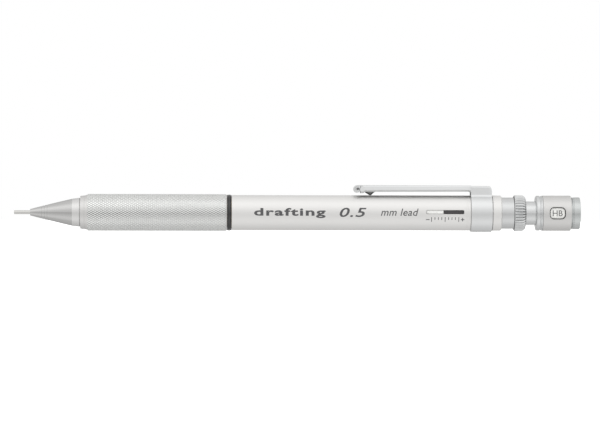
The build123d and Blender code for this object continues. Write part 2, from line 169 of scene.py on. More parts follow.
def joined(name, pieces):
    """Joins pieces of one rigid part into one object."""
    bm = bmesh.new()
    for piece in pieces:
        bm.from_mesh(piece.data)
        bpy.data.objects.remove(piece)
    bm.transform(Matrix.Scale(1 / MM, 4))
    return finish_mesh(name, bm)


def paint(piece, chosen):
    """Gives each face the finish that a test of its middle, in millimetres, picks."""
    for face in piece.data.polygons:
        face.material_index = int(chosen(face.center / MM))
    return piece


def fit_out(piece, body, slot, material, *nodes, others=()):
    """Fits out a finished piece: gives it its finishes, puts it in its body and hides the nodes it stands
    for. Its slot is not used.
    """
    for finish in (material, *others):
        piece.data.materials.append(finish)
    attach(piece, body)
    if nodes:
        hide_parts(*nodes)
    return piece


def fit_turned(name, outline, body, slot, material, node):
    """A turned piece with rounded corners, fitted out in place of its node."""
    return fit_out(turned(name, rounded(outline)), body, slot, material, node)


# --- Materials ---
class Nodes:
    """A short way to write the node tree of a material or a world."""

    def __init__(self, owner):
        owner.use_nodes = True
        self.owner, self.tree = owner, owner.node_tree
        self.shader = self.tree.nodes.get("Principled BSDF")

    def add(self, kind, settings=None, **inputs):
        node = self.tree.nodes.new(kind)
        for key, value in (settings or {}).items():
            setattr(node, key, value)
        for key, value in inputs.items():
            self.feed(node, key.replace("_", " "), value)
        return node

    def feed(self, node, key, value):
        socket = node.inputs[int(key)] if key.isdigit() else node.inputs[key]
        if isinstance(value, bpy.types.NodeSocket):
            self.tree.links.new(value, socket)
        else:
            socket.default_value = value

    def math(self, operation, first, second=0.0):
        node = self.add("ShaderNodeMath", {"operation": operation})
        self.feed(node, "0", first)
        self.feed(node, "1", second)
        return node.outputs[0]

    def spread(self, value, low, high):
        """Maps 0..1 to low..high."""
        node = self.add("ShaderNodeMapRange", Value=value)
        node.inputs["To Min"].default_value = low
        node.inputs["To Max"].default_value = high
        return node.outputs[0]

    def position(self):
        """Object coordinates in millimetres, as three sockets."""
        place = self.add("ShaderNodeTexCoord").outputs["Object"]
        scaled = self.add("ShaderNodeVectorMath", {"operation": "SCALE"}, Vector=place, Scale=1 / MM)
        split = self.add("ShaderNodeSeparateXYZ", Vector=scaled.outputs[0])
        return scaled.outputs[0], split.outputs

    def noise(self, vector, scale, detail=3.0, roughness=0.55):
        node = self.add("ShaderNodeTexNoise", Vector=vector, Scale=scale, Detail=detail, Roughness=roughness)
        return node.outputs["Fac"]

    def stretched(self, split, x, y, z):
        node = self.add("ShaderNodeCombineXYZ")
        for socket, axis, factor in zip(node.inputs, split, (x, y, z)):
            self.tree.links.new(self.math("MULTIPLY", axis, factor), socket)
        return node.outputs[0]

    def colour(self, factor, dark, light):
        node = self.add("ShaderNodeMix", {"data_type": "RGBA"})
        self.tree.links.new(factor, node.inputs[0])
        node.inputs[6].default_value = (*dark, 1)
        node.inputs[7].default_value = (*light, 1)
        return node.outputs[2]

    def bump(self, height, strength, distance, before=None):
        node = self.add("ShaderNodeBump", Height=height, Strength=strength, Distance=distance)
        if before is not None:
            self.tree.links.new(before, node.inputs["Normal"])
        return node.outputs["Normal"]

    def surface(self, **inputs):
        """Feeds the shader and gives the finished material."""
        for key, value in inputs.items():
            self.feed(self.shader, key.replace("_", " "), value)
        return self.owner


def shade(grey, tint=(1.0, 1.0, 1.0)):
    return tuple(grey * part for part in tint)


def turned_metal(name, grey, roughness, marks=0.35, mark_scale=9.0, tint=(1.0, 1.0, 1.0), spread=0.07):
    """Metal turned on a lathe: fine rings round X, cloudy wear, and faint handling scratches."""
    n = Nodes(bpy.data.materials.new(name))
    place, split = n.position()
    rings = n.noise(n.stretched(split, mark_scale, 0.02, 0.02), 1.0, 4.0, 0.65)
    clouds = n.noise(place, 0.35, 3.0)
    scratches = n.noise(n.stretched(split, 0.6, 14.0, 14.0), 1.0, 2.0, 0.7)
    tone = n.math("ADD", n.math("MULTIPLY", rings, 0.5), n.math("MULTIPLY", clouds, 0.5))
    colour = n.colour(tone, shade(grey * 0.93, tint), shade(grey * 1.05, tint))
    worn = n.math("ADD", n.math("MULTIPLY", clouds, 0.55), n.math("MULTIPLY", scratches, 0.45))
    gloss = n.spread(worn, roughness - spread, roughness + spread)
    relief = n.bump(scratches, marks * 0.3, 0.000004, n.bump(rings, marks, 0.00001))
    return n.surface(Base_Color=colour, Metallic=1.0, Roughness=gloss, Normal=relief)


def blasted_metal(name, grey, roughness, tint=(1.0, 1.0, 1.0)):
    """Satin anodised metal: an even fine grain with slow changes of tone."""
    n = Nodes(bpy.data.materials.new(name))
    place, split = n.position()
    grain = n.noise(place, 14.0, 4.0, 0.7)
    clouds = n.noise(place, 0.12, 2.0)
    drawn = n.noise(n.stretched(split, 0.25, 7.0, 7.0), 1.0, 2.0, 0.6)
    tone = n.math("ADD", n.math("MULTIPLY", clouds, 0.6), n.math("MULTIPLY", drawn, 0.4))
    colour = n.colour(tone, shade(grey * 0.96, tint), shade(grey * 1.03, tint))
    gloss = n.spread(tone, roughness - 0.05, roughness + 0.05)
    relief = n.bump(grain, 0.25, 0.000006, n.bump(drawn, 0.12, 0.000006))
    return n.surface(Base_Color=colour, Metallic=1.0, Roughness=gloss, Normal=relief)


def moulded(name, dark, light, roughness, grain=5.0):
    """Plastic, rubber or ink: soft mottling, a moulded grain, and uneven gloss."""
    n = Nodes(bpy.data.materials.new(name))
    place, _ = n.position()
    mottle = n.noise(place, 0.9, 3.0)
    texture = n.noise(place, grain, 4.0, 0.65)
    gloss = n.spread(texture, roughness - 0.08, roughness + 0.08)
    relief = n.bump(texture, 0.2, 0.000012)
    return n.surface(Base_Color=n.colour(mottle, dark, light), Roughness=gloss, Normal=relief)


def translucent(name, colour, roughness):
    """The reservoir's milky tube."""
    n = Nodes(bpy.data.materials.new(name))
    _, split = n.position()
    drawn = n.noise(n.stretched(split, 0.3, 5.0, 5.0), 1.0, 2.0)
    tone = n.colour(drawn, shade(0.9, colour), colour)
    gloss = n.spread(drawn, roughness - 0.06, roughness + 0.06)
    return n.surface(Base_Color=tone, Roughness=gloss, Transmission_Weight=0.55, IOR=1.49)


WARM = (1.0, 0.992, 0.978)
COOL = (0.985, 0.997, 1.0)
barrel_metal = blasted_metal("satin barrel metal", 0.755, 0.5, WARM)
grip_metal = turned_metal("knurled grip metal", 0.88, 0.3, 0.25, 6.0, (0.99, 1.0, 0.985))
# A darker grey for the knurl's slopes: painted shade of the valleys between the diamonds.
knurl_slope_shade_metal = turned_metal("painted shade on knurl slopes", 0.45, 0.3, 0.25, 6.0, (0.99, 1.0, 0.985))
plain_metal = turned_metal("plain front of the grip", 0.64, 0.4, 0.25, 9.0, WARM)
cone_metal = turned_metal("turned cone metal", 0.51, 0.11, 0.3, 10.0, (1.0, 0.995, 0.985), 0.04)
band_metal = turned_metal("finer band of the cone", 0.67, 0.35, 0.3, 14.0, (1.0, 0.993, 0.985))
sleeve_metal = turned_metal("lead sleeve steel", 0.6, 0.16, 0.2, 6.0, (1.0, 0.99, 0.96))
clip_metal = blasted_metal("satin chrome clip", 0.69, 0.36, COOL)
# A dark grey for the clip's catch and the plug in its rolled nose: painted shade under the arm and inside
# the roll.
catch_shade_metal = turned_metal("painted shade on the clip's catch", 0.2, 0.35, 0.2, 8.0)
dial_metal = turned_metal("dial metal", 0.62, 0.3, 0.3, 8.0, COOL)
neck_metal = turned_metal("plated neck", 0.64, 0.22, 0.15, 5.0, COOL)
cap_metal = turned_metal("turned cap metal", 0.64, 0.46, 0.3, 9.0, WARM)
knob_metal = turned_metal("end knob metal", 0.56, 0.21, 0.5, 7.0, (0.97, 1.0, 0.995), 0.05)
# A near-black finish for the cap window's wall and the dial's tooth gaps: painted shade.
gap_shade_metal = turned_metal("painted shade in window edges and tooth gaps", 0.09, 0.5, 0.3, 12.0)
# A darker grey for the indicator slot's wall: painted shade at the slot's edge.
slot_wall_shade = turned_metal("painted shade on the slot's wall", 0.4, 0.5, 0.3, 12.0)
ring_metal = turned_metal("black plated ring", 0.075, 0.25, 0.4, 10.0)
brass = turned_metal("turned brass", 0.72, 0.28, 0.35, 9.0, (1.0, 0.8, 0.45))
spring_steel = turned_metal("spring wire", 0.5, 0.3, 0.2, 12.0, COOL)
black_plastic = moulded("black plastic", (0.012, 0.012, 0.014), (0.03, 0.03, 0.033), 0.32)
pale_plastic = moulded("pale indicator plastic", (0.78, 0.78, 0.76), (0.86, 0.86, 0.84), 0.42)
dark_plastic = moulded("dark indicator plastic", (0.035, 0.032, 0.034), (0.055, 0.05, 0.052), 0.5)
white_plastic = moulded("white plastic", (0.62, 0.62, 0.6), (0.7, 0.7, 0.68), 0.42)
eraser_vinyl = moulded("eraser vinyl", (0.78, 0.78, 0.75), (0.9, 0.89, 0.87), 0.75, 3.0)
graphite = moulded("graphite lead", (0.02, 0.02, 0.022), (0.07, 0.07, 0.075), 0.38, 9.0)
black_rubber = moulded("black rubber", (0.012, 0.012, 0.012), (0.03, 0.03, 0.03), 0.7)
reservoir = translucent("milky reservoir plastic", (0.86, 0.89, 0.9), 0.3)
ink = moulded("printed dark ink", (0.045, 0.045, 0.047), (0.075, 0.075, 0.078), 0.55, 8.0)
grade_ink = moulded("printed grey ink", (0.1, 0.1, 0.1), (0.14, 0.14, 0.14), 0.55, 8.0)


# --- Nose ---
TIP_RADIUS = 0.475  # the sleeve that reaches past the ruler's edge


def make_lead_sleeve():
    front, rear = span("lead_sleeve")
    tail_front, bore = span("nose_cone")[0], 0.3
    outline = [
        (front, bore),
        (rear, bore),
        (rear, radius_of("lead_sleeve")),
        (tail_front, radius_of("lead_sleeve")),
        (tail_front, TIP_RADIUS),
        (front, TIP_RADIUS, 0.1),
    ]
    sleeve = turned("lead_sleeve_tube", rounded(outline, 0.03), 72)
    fit_out(sleeve, "barrel", "sleeve_steel", sleeve_metal, "lead_sleeve")


def cone_curve(start, end, bulge, steps):
    """Points on a flat curve that stands out from the straight line by the bulge at its middle."""
    points = []
    for i in range(steps + 1):
        t = i / steps
        x = start[0] + t * (end[0] - start[0])
        straight = start[1] + t * (end[1] - start[1])
        points.append((x, straight + 4 * bulge * t * (1 - t), 0))
    return points


def grooved(points, places, width, depth):
    """Cuts fine square grooves with soft edges into a run of outline points."""
    cut = []
    for first, second in zip(points, points[1:]):
        cut.append(first)
        for x in places:
            if first[0] <= x < second[0]:
                slope = (second[1] - first[1]) / (second[0] - first[0])
                level = first[1] + slope * (x - first[0])
                half = width / 2
                cut += [(x - half, level - slope * half, 0.03), (x - half * 0.5, level - depth, 0.03)]
                cut += [(x + half * 0.5, level - depth, 0.03), (x + half, level + slope * half, 0.03)]
    return cut + points[-1:]


def make_nose_cone():
    spigot_rear = span("nose_cone")[1]
    front, rear = span("nose_cone")[0], span("grip")[0] - 0.13
    sleeve_hole = radius_of("lead_sleeve") + 0.02
    band_start, band_radius = rear - 1.85, 3.4
    seat_front, seat_rear = span("lead_retainer")
    seat_radius = radius_of("lead_retainer") + 0.02
    chamber = seat_rear + 0.4
    guide_step = chamber + 8.3
    curve = cone_curve((front, 0.8), (band_start, band_radius), 0.045, 14)
    curve[0] = (front, 0.8, 0.12)
    curve[-1] = (band_start, band_radius, 0.1)
    outside = grooved(curve, (front + 2.83, front + 3.51, front + 4.2), 0.22, 0.05)
    rest = [
        (rear - 0.06, 3.62, 0.03), (rear, 3.57, 0.02), (rear, 3.2), (spigot_rear, 3.2),
        (spigot_rear, 2.62), (guide_step, 2.62), (guide_step, 1.85), (chamber + 1.5, 1.85),
        (chamber + 1.5, 1.5), (chamber, 1.5), (chamber, seat_radius),
        (seat_front - 0.1, seat_radius), (seat_front - 0.1, sleeve_hole),
        (front, sleeve_hole, 0.05),
    ]
    cone = turned("nose_cone_turned", rounded(outside + rest))
    paint(cone, lambda middle: middle.x > band_start)
    fit_out(cone, "barrel", "cone_metal", cone_metal, "nose_cone", others=(band_metal,))


# --- Grip ---
STARTS = 52  # knurl lines of each hand round the grip
ROW = 0.5  # half the distance along X between two diamonds
KNURL_DEPTH = 0.14
FLAT_SHARE = 0.17  # where a flat begins, as a share of the way from a valley to the diamond's centre


def knurl_points(bm, x_front, rows, radius):
    """Lattice of valley crossings and diamond centres: they alternate along rows and columns."""
    lattice = []
    for row in range(rows + 1):
        line = []
        for column in range(2 * STARTS):
            valley = (row + column) % 2 == 0
            level = radius - KNURL_DEPTH if valley else radius
            angle = math.pi * column / STARTS
            line.append(bm.verts.new(on_axis(x_front + row * ROW, level, angle)))
        lattice.append(line)
    return lattice


def knurl_faces(bm, lattice, radius):
    """Each diamond's quarter is a slope up from the valley and a flat crest."""
    crest = {}

    def shoulder(valley, peak):
        key = (valley, peak)
        if key not in crest:
            point = valley.co.lerp(peak.co, FLAT_SHARE)
            around = Vector((0, point.y, point.z)).normalized() * (radius - 0.012)
            crest[key] = bm.verts.new((point.x, around.y, around.z))
        return crest[key]

    columns = len(lattice[0])
    for row in range(len(lattice) - 1):
        for column in range(columns):
            after = (column + 1) % columns
            here, beside = lattice[row][column], lattice[row][after]
            above, across = lattice[row + 1][column], lattice[row + 1][after]
            if (row + column) % 2 == 0:
                valleys, peaks = (here, across), (beside, above)
            else:
                valleys, peaks = (beside, above), (here, across)
            for peak in peaks:
                low, high = shoulder(valleys[0], peak), shoulder(valleys[1], peak)
                # The slopes take the darker second finish, which paints the shade of the valleys.
                bm.faces.new((valleys[0], valleys[1], high, low)).material_index = 1
                bm.faces.new((low, high, peak))
    return crest


def end_ring(lattice_row, crest):
    """The vertices along one end of the knurl, in order round the axis."""
    ring = []
    count = len(lattice_row)
    for i, vertex in enumerate(lattice_row):
        following = lattice_row[(i + 1) % count]
        ring.append(vertex)
        ring.append(crest.get((vertex, following)) or crest[(following, vertex)])
    return ring


def make_grip():
    front, rear = span("grip")
    radius = radius_of("grip") + 0.05
    knurl_front = rear - KNURL_LENGTH
    rows = round((rear - 0.2 - knurl_front) / ROW)
    bm = bmesh.new()
    lattice = knurl_points(bm, knurl_front, rows, radius)
    crest = knurl_faces(bm, lattice, radius)
    first = end_ring(lattice[0], crest)
    last = end_ring(lattice[-1], crest)
    shoulder = radius - 0.22
    taper = [
        (rear - 0.15, radius - KNURL_DEPTH, 0), (rear, radius - KNURL_DEPTH, 0.05),
        (rear, SEAT_BORE), (front, 3.22), (front, 4.1, 0.06), (front + 0.95, 4.215, 0.02),
        (front + 1.0, 4.18, 0.02), (front + 1.08, 4.18, 0.02), (front + 1.13, 4.23, 0.02),
        (knurl_front - 0.02, shoulder, 0),
    ]
    outline = rounded(taper, 0.04)
    angles = [math.atan2(v.co.z, -v.co.y) for v in first]
    rings = [last]
    for x, level in outline:
        rings.append([bm.verts.new(on_axis(x, level, angle)) for angle in angles])
    rings.append(first)
    skin(bm, rings, closed_across=False, finish=2)
    grip = finish_mesh("knurled_grip", bm, 20.0)
    fit_out(grip, "barrel", "grip_metal", grip_metal, "grip", others=(knurl_slope_shade_metal, plain_metal))


def make_accent_ring():
    """The black ring: a plated band between two fine grooves."""
    front, rear = span("accent_ring")
    radius, depth = radius_of("accent_ring"), 0.12
    middle = (front + rear) / 2
    outline = [(front, SEAT_BORE), (rear, SEAT_BORE)]
    for side in (1, -1):
        places = ((0.5, 0.04), (0.4, 0.0), (0.34, depth), (0.27, depth), (0.24, 0.0))
        steps = [(middle + side * x * (rear - front), radius - drop, 0.03) for x, drop in places]
        outline += steps if side > 0 else steps[::-1]
    ring = turned("accent_ring_turned", rounded(outline))
    paint(ring, lambda at: abs(at.x - middle) < 0.25 * (rear - front))
    fit_out(ring, "barrel", "black_plastic", black_plastic, "accent_ring", others=(ring_metal,))


# --- Tubes with a window ---
def between(first, second, steps):
    """The points that divide a straight run into equal steps, without its ends."""
    return [tuple(a + i / steps * (b - a) for a, b in zip(first, second)) for i in range(1, steps)]


class Window:
    """A round-cornered opening that faces -Y, as loops of equal count on either side of its wall."""

    def __init__(self, x, z, length, width, corner, taper, side_steps, end_steps):
        self.x, self.z, self.length, self.width = x, z, length, width
        self.corner, self.taper = corner, taper
        self.side_steps, self.end_steps, self.corner_steps = side_steps, end_steps, 6

    def steps_after(self, index):
        """Steps along the straight run after a corner: corners 0 and 2 come before the two ends."""
        return self.end_steps if index % 2 == 0 else self.side_steps

    def loop(self, grow=0.0):
        """The opening's edge, grown outwards, from its low front corner round through the rear."""
        radius = self.corner + grow
        half_x, half_z = self.length / 2 - self.corner, self.width / 2 - self.corner
        corners = (
            (half_x, -half_z, -90),
            (half_x, half_z, 0),
            (-half_x, half_z, 90),
            (-half_x, -half_z, 180),
        )
        points = []
        for index, (x, z, start) in enumerate(corners):
            for step in range(self.corner_steps + 1):
                turn = math.radians(start + 90 * step / self.corner_steps)
                points.append((self.x + x + radius * math.cos(turn), self.z + z + radius * math.sin(turn)))
            end = points[-1]
            after_x, after_z, _ = corners[(index + 1) % 4]
            target = (end[0] + after_x - x, end[1] + after_z - z)
            points += between(end, target, self.steps_after(index))
        return points

    def frame_loop(self):
        """The matching loop on the straight rectangle around the opening."""
        half_x, half_z = self.length / 2 - self.corner, self.width / 2 - self.corner
        out_x, out_z = self.length / 2 + self.corner, self.width / 2 + self.corner
        turns = ((1, -1), (1, 1), (-1, 1), (-1, -1))
        points = []
        for index, (sign_x, sign_z) in enumerate(turns):
            corner = (sign_x * out_x, sign_z * out_z)
            beside_z = (sign_x * half_x, sign_z * out_z)
            beside_x = (sign_x * out_x, sign_z * half_z)
            start, end = (beside_z, beside_x) if index % 2 == 0 else (beside_x, beside_z)
            half = self.corner_steps // 2
            points += [start, *between(start, corner, half), corner, *between(corner, end, half), end]
            x, z = turns[(index + 1) % 4]
            target = (x * out_x, z * half_z) if index % 2 == 0 else (x * half_x, z * out_z)
            points += between(end, target, self.steps_after(index))
        return [(self.x + x, self.z + z) for x, z in points]


def facing(x, z, radius):
    """The point of a tube's wall that lies behind (x, z) when seen along +Y."""
    return x, -math.sqrt(radius * radius - z * z), z


def blended(first, second, share):
    """The loop that lies the given share of the way from one loop to another."""
    return [tuple(a + share * (b - a) for a, b in zip(p, q)) for p, q in zip(first, second)]


def windowed_tube(name, outline, radius, bore, window):
    """A turned tube with a window through its wall. The outline runs round the wall's section."""
    border = window.frame_loop()
    stations = sorted({round(x, 6) for x, _ in border})
    levels = sorted({round(z, 6) for _, z in border})
    low, high = math.asin(levels[0] / radius), math.asin(levels[-1] / radius)
    others = [high + (low + math.tau - high) * i / SEGMENTS for i in range(1, SEGMENTS)]
    outer_rows = [(x, radius) for x in stations]
    inner_rows = [(x, bore) for x in reversed(stations)]
    profile = []
    for i, corner in enumerate(outline):
        profile.append(corner)
        after = outline[(i + 1) % len(outline)]
        crosses = abs(after[0] - corner[0]) > stations[-1] - stations[0]
        if crosses:
            profile += outer_rows if after[0] > corner[0] else inner_rows
    bm = bmesh.new()
    rings = []
    for x, level in profile:
        ring = [bm.verts.new(facing(x, z, level)) for z in levels]
        ring += [bm.verts.new(on_axis(x, level, angle)) for angle in others]
        rings.append(ring)
    count = len(profile)
    inside = range(len(levels) - 1)
    for i in range(count):
        j = (i + 1) % count
        (x1, r1), (x2, r2) = profile[i], profile[j]
        in_patch = r1 == r2 and min(x1, x2) >= stations[0] and max(x1, x2) <= stations[-1]
        size = len(rings[i])
        for k in range(size):
            if in_patch and k in inside:
                continue
            after = (k + 1) % size
            bm.faces.new((rings[i][k], rings[i][after], rings[j][after], rings[j][k]))
    edge = 0.03
    outer, inner = window.loop(edge), window.loop(-window.taper)
    steps = (
        (border, radius),
        (blended(border, outer, 1 / 3), radius),
        (blended(border, outer, 2 / 3), radius),
        (outer, radius),
        (window.loop(0.3 * edge), radius - 0.3 * edge),
        (window.loop(), radius - edge),
        (inner, bore),
        (blended(border, inner, 2 / 3), bore),
        (blended(border, inner, 1 / 3), bore),
        (border, bore),
    )
    loops = [[bm.verts.new(facing(x, z, level)) for x, z in points] for points, level in steps]
    skin(bm, loops[:6], closed_across=False)
    # The window's wall takes finish 1, a darker finish that paints the shade at its cut edge.
    skin(bm, loops[5:7], closed_across=False, finish=1)
    skin(bm, loops[6:], closed_across=False)
    return finish_mesh(name, bm)


def make_barrel():
    front, rear = span("barrel_tube")
    radius, bore = radius_of("barrel_tube"), 4.0
    slot_front, slot_rear = slot_ends()
    seam = span("clip")[1] - BAND_LENGTH
    outside = [
        (front, radius - 0.02, 0.12), (front + 0.32, radius, 0.05), (seam - 1.5, radius, 0),
        (rear, radius, 0.08),
    ]
    outside = grooved(outside, (seam - 1.2, seam - 0.85), 0.1, 0.025)
    outside = grooved(outside, (seam - 0.07,), 0.14, 0.2)
    outline = rounded(outside + [(rear, bore), (front, bore)])
    middle, length = (slot_front + slot_rear) / 2, slot_rear - slot_front
    slot = Window(middle, 0.22, length, 1.0, corner=0.27, taper=0.1, side_steps=8, end_steps=2)
    barrel = windowed_tube("barrel_shell", outline, radius, bore, slot)
    # The slot's wall takes the darker second finish: painted shade.
    fit_out(barrel, "barrel", "barrel_metal", barrel_metal, "barrel_tube", others=(slot_wall_shade,))


# --- Inside ---
def dress_inner_nodes():
    """Materials for the nodes that are kept as the CAD made them."""
    kept = (
        (brass, ("chuck", "clutch_ring", "chuck_guide", "chuck_connector", "coupler")),
        (graphite, ("working_lead", "spare_leads")),
        (spring_steel, ("retaining_ring",)),
        (black_rubber, ("lead_retainer",)),
        (reservoir, ("lead_tube",)),
        (white_plastic, ("cap_liner",)),
    )
    for material, nodes in kept:
        for node in nodes:
            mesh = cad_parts[node].data
            mesh.materials.clear()
            mesh.materials.append(material)


def make_return_spring():
    """The button's return spring, standing on the guide's seat. The real spring shortens as the button goes
    in; this coil keeps one length.
    """
    wire, turns, steps, sides = 0.17, 9, 360, 12
    front, rear = span("return_spring")
    radius = radius_of("return_spring") - wire
    length = rear - front - 2 * wire
    loops = []
    for step in range(steps + 1):
        angle = math.tau * turns * step / steps
        centre = Vector(on_axis(front + wire + length * step / steps, radius, angle))
        outward = Vector(on_axis(0, 1, angle))
        along = Vector((length / (math.tau * turns), radius * math.sin(angle), radius * math.cos(angle)))
        across = along.normalized().cross(outward)
        around = [math.tau * side / sides for side in range(sides)]
        loops.append([centre + wire * (math.cos(a) * outward + math.sin(a) * across) for a in around])
    spring = loft("return_spring_coil", loops)
    fit_out(spring, "barrel", "spring_steel", spring_steel, "return_spring")
    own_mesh(spring)


# --- Clip ---
ARM_HALF = 2.0  # half the arm's width
RISER_FOOT_HALF = 2.12  # the riser is a little wider at its foot
SHEET = 0.3
FOLD = 0.9  # the fold between the band and the riser


def soften_edges(piece, width=0.045, limit=35):
    """Breaks every sharp edge of a folded or cut piece."""
    bevel = piece.modifiers.new("broken edges", "BEVEL")
    bevel.width = width * MM
    bevel.segments = 2
    bevel.limit_method = "ANGLE"
    bevel.angle_limit = math.radians(limit)
    piece.modifiers.move(len(piece.modifiers) - 1, 0)
    return piece


def arch(half, bottom, top, corner, foot_half=None, steps=5):
    """The (y, z) points of a round-shouldered arch, up one side, across, and down the other."""
    foot = foot_half or half
    points = [(-foot, bottom)]
    for side in (-1, 1):
        start = math.pi if side < 0 else math.pi / 2
        for step in range(steps + 1):
            turn = start - math.pi / 2 * step / steps
            y = side * (half - corner) + corner * math.cos(turn)
            points.append((y, top - corner + corner * math.sin(turn)))
        if side < 0:
            points.append((0.0, top))
    points.append((foot, bottom))
    return points


def arm_section(x, top, bottom, half):
    """The folded channel's section: its cheeks lean in toward the top and along their lower edges."""
    lean_height, lean, crown = 0.42, 0.28, 0.15
    shell = []
    for width, height, corner in ((half, top, 0.45), (half - SHEET, top - SHEET, 0.2)):
        path = arch(width - crown, bottom, height, corner, width - lean)
        path.insert(1, (-width, bottom + lean_height))
        path.insert(-1, (width, bottom + lean_height))
        shell.append(path)
    return [(x, y, z) for y, z in shell[0] + shell[1][::-1]]


def clip_arm(nose, band_front, top):
    """The channel from behind the rolled nose to the riser. Depths are below the top."""
    drop = 0.06  # the arm's top falls this much over its length
    channel_front = nose + 1.7
    length = band_front - channel_front
    channel = [(0.0, 1.98), (0.55, 2.0), (0.8, 1.93), (0.98, 1.74), (1.1, 1.66)]
    channel += [(1.1 + (length - 1.9) * i / 8, 1.66 - 0.1 * i / 8) for i in range(1, 9)]
    channel += [(length - 0.45, 1.56), (length - 0.22, 1.6), (length - 0.06, 1.73), (length + 0.04, 1.98)]
    loops = []
    for along, low in channel:
        share = along / length
        half = ARM_HALF - 0.03 * share
        loops.append(arm_section(channel_front + along, top - drop * share, top - low, half))
    return loft("clip_arm", loops, 30)


def rolled_nose(nose, top):
    """The sheet's end, rolled under and in on itself, round a dark plug that paints the shade inside the
    roll.
    """
    across, below, step_in, turns, steps = 0.95, 1.03, 0.33, 1.65, 60
    middle_x, middle_z = nose + across, top - below
    outer, inner = [(nose + 2.2, top)], [(nose + 2.2, top - SHEET)]
    for i in range(steps + 1):
        share = turns * i / steps
        turn = math.radians(90 + 360 * share)
        outside = below - step_in * share
        for path, radius in ((outer, outside), (inner, below - SHEET - step_in * share)):
            path.append((middle_x + radius * math.cos(turn), middle_z + radius * math.sin(turn)))
    section = outer + inner[::-1]
    roll = loft("clip_nose", [[(x, y, z) for x, z in section] for y in (-1.93, 1.93)], 30)
    # A dark plug in the roll's hollow: painted shade, not a part of the clip.
    circle = [(math.cos(math.tau * i / 20), math.sin(math.tau * i / 20)) for i in range(20)]
    ends = [[(middle_x + 0.36 * x, y, middle_z + 0.36 * z) for x, z in circle] for y in (-1.86, 1.86)]
    roll_shade = loft("clip_roll_shade", ends, 50)
    return roll, paint(roll_shade, lambda _: True)


def riser_loop(x, top, radius, half, foot, corner, closed=False):
    """The band's section with its riser, or only its round when the riser is closed by its wall."""
    crease = math.atan2(*foot[0])
    foot_half, foot_z = foot[-1]
    crown = arch(half, foot_z, top, corner, foot_half)[1:-1]
    path = [(-y, z) for y, z in foot] + crown + foot[::-1]
    if closed:
        count = len(path) - 1
        turns = [crease * (2 * i / count - 1) for i in range(count + 1)]
        path = [(radius * math.sin(turn), radius * math.cos(turn)) for turn in turns]
    steps = 88
    turns = [crease + (math.tau - 2 * crease) * i / steps for i in range(1, steps)]
    path += [(radius * math.sin(turn), radius * math.cos(turn)) for turn in turns]
    return [(x, y, z) for y, z in path]


def clip_band(front, rear, radius, bore):
    """The wrapped band and its riser, closed behind by a folded wall."""
    steps = 5
    fold_y = RISER_FOOT_HALF + FOLD
    fold_z = math.sqrt((radius + FOLD) ** 2 - fold_y**2)
    start = math.atan2(-fold_z, -fold_y)
    turns = [start + (-math.pi - start) * i / steps for i in range(steps + 1)]
    outer_foot = [(fold_y + FOLD * math.cos(turn), fold_z + FOLD * math.sin(turn)) for turn in turns]
    inner_y = RISER_FOOT_HALF - SHEET
    crease_z = math.sqrt(bore**2 - inner_y**2)
    inner_foot = [(inner_y, crease_z + (fold_z - crease_z) * i / steps) for i in range(steps + 1)]
    wall_front = rear - SHEET
    stations = (
        (front, 6.8, False),
        (rear - 0.7, 6.76, False),
        (rear - 0.45, 6.68, False),
        (wall_front, 6.5, False),
        (wall_front, 6.5, True),
        (rear - 0.14, 6.25, True),
        (rear - 0.05, 5.8, True),
        (rear, 5.5, True),
    )
    bm = bmesh.new()
    outer, inner = [], []
    for x, top, closed in stations:
        outside = riser_loop(x, top, radius, ARM_HALF, outer_foot, 0.42)
        inside = riser_loop(x, top - SHEET, bore, ARM_HALF - SHEET, inner_foot, 0.16, closed)
        outer.append([bm.verts.new(point) for point in outside])
        inner.append([bm.verts.new(point) for point in inside])
    skin(bm, outer + inner[::-1])
    return finish_mesh("clip_band", bm, 30)


def make_clip():
    low, high = (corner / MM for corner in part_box("clip"))
    nose, rear, top = low[0], high[0], high[2] + 0.1
    band_front, radius, bore = rear - BAND_LENGTH, -low[2], radius_of("barrel_tube") + 0.02
    contact = nose + 4.2
    profile = (
        (contact - 1.55, top - 0.35), (contact - 1.5, top - 1.7), (contact - 1.2, top - 1.92),
        (contact - 0.2, bore + 0.03), (contact + 0.14, bore + 0.03), (contact + 0.75, top - 1.95),
        (contact + 1.25, top - 1.6), (contact + 1.5, top - 0.35),
    )
    half, hidden = ARM_HALF - SHEET - 0.18, top - 1.3
    one_side = ((1, 0.25), (0.92, 0.6), (0.7, 0.86), (0.4, 1))
    shares = [(-share, depth) for share, depth in one_side] + [(0, 1)] + list(reversed(one_side))
    sections = []
    for share, depth in shares:
        heights = [z if z > hidden else hidden + (z - hidden) * depth for _, z in profile]
        sections.append([(x, half * share, z) for (x, _), z in zip(profile, heights)])
    # The catch takes the dark second finish: painted shade under the arm.
    lug = paint(loft("clip_lug", sections, 50), lambda _: True)
    nose_pieces = rolled_nose(nose, top)
    arm, band = clip_arm(nose, band_front, top), clip_band(band_front, rear, radius, bore)
    clip = joined("clip_folded", [*nose_pieces, arm, band, lug])
    soften_edges(clip)
    fit_out(clip, "barrel", "clip_metal", clip_metal, "clip", others=(catch_shade_metal,))


# --- Dial ---
def make_rear_ferrule():
    front, rear, radius = measures("rear_ferrule")
    seat = span("barrel_tube")[1] + 0.14
    outline = [
        (front, 3.45), (front + 2.8, 3.45), (front + 2.8, 3.975), (rear, 3.975, 0.06),
        (rear, radius - 0.22, 0.06), (rear - 0.22, radius, 0.06), (seat, radius, 0.06),
        (seat, 3.98), (front, 3.98),
    ]
    fit_turned("rear_ferrule_turned", outline, "barrel", "barrel_metal", barrel_metal, "rear_ferrule")


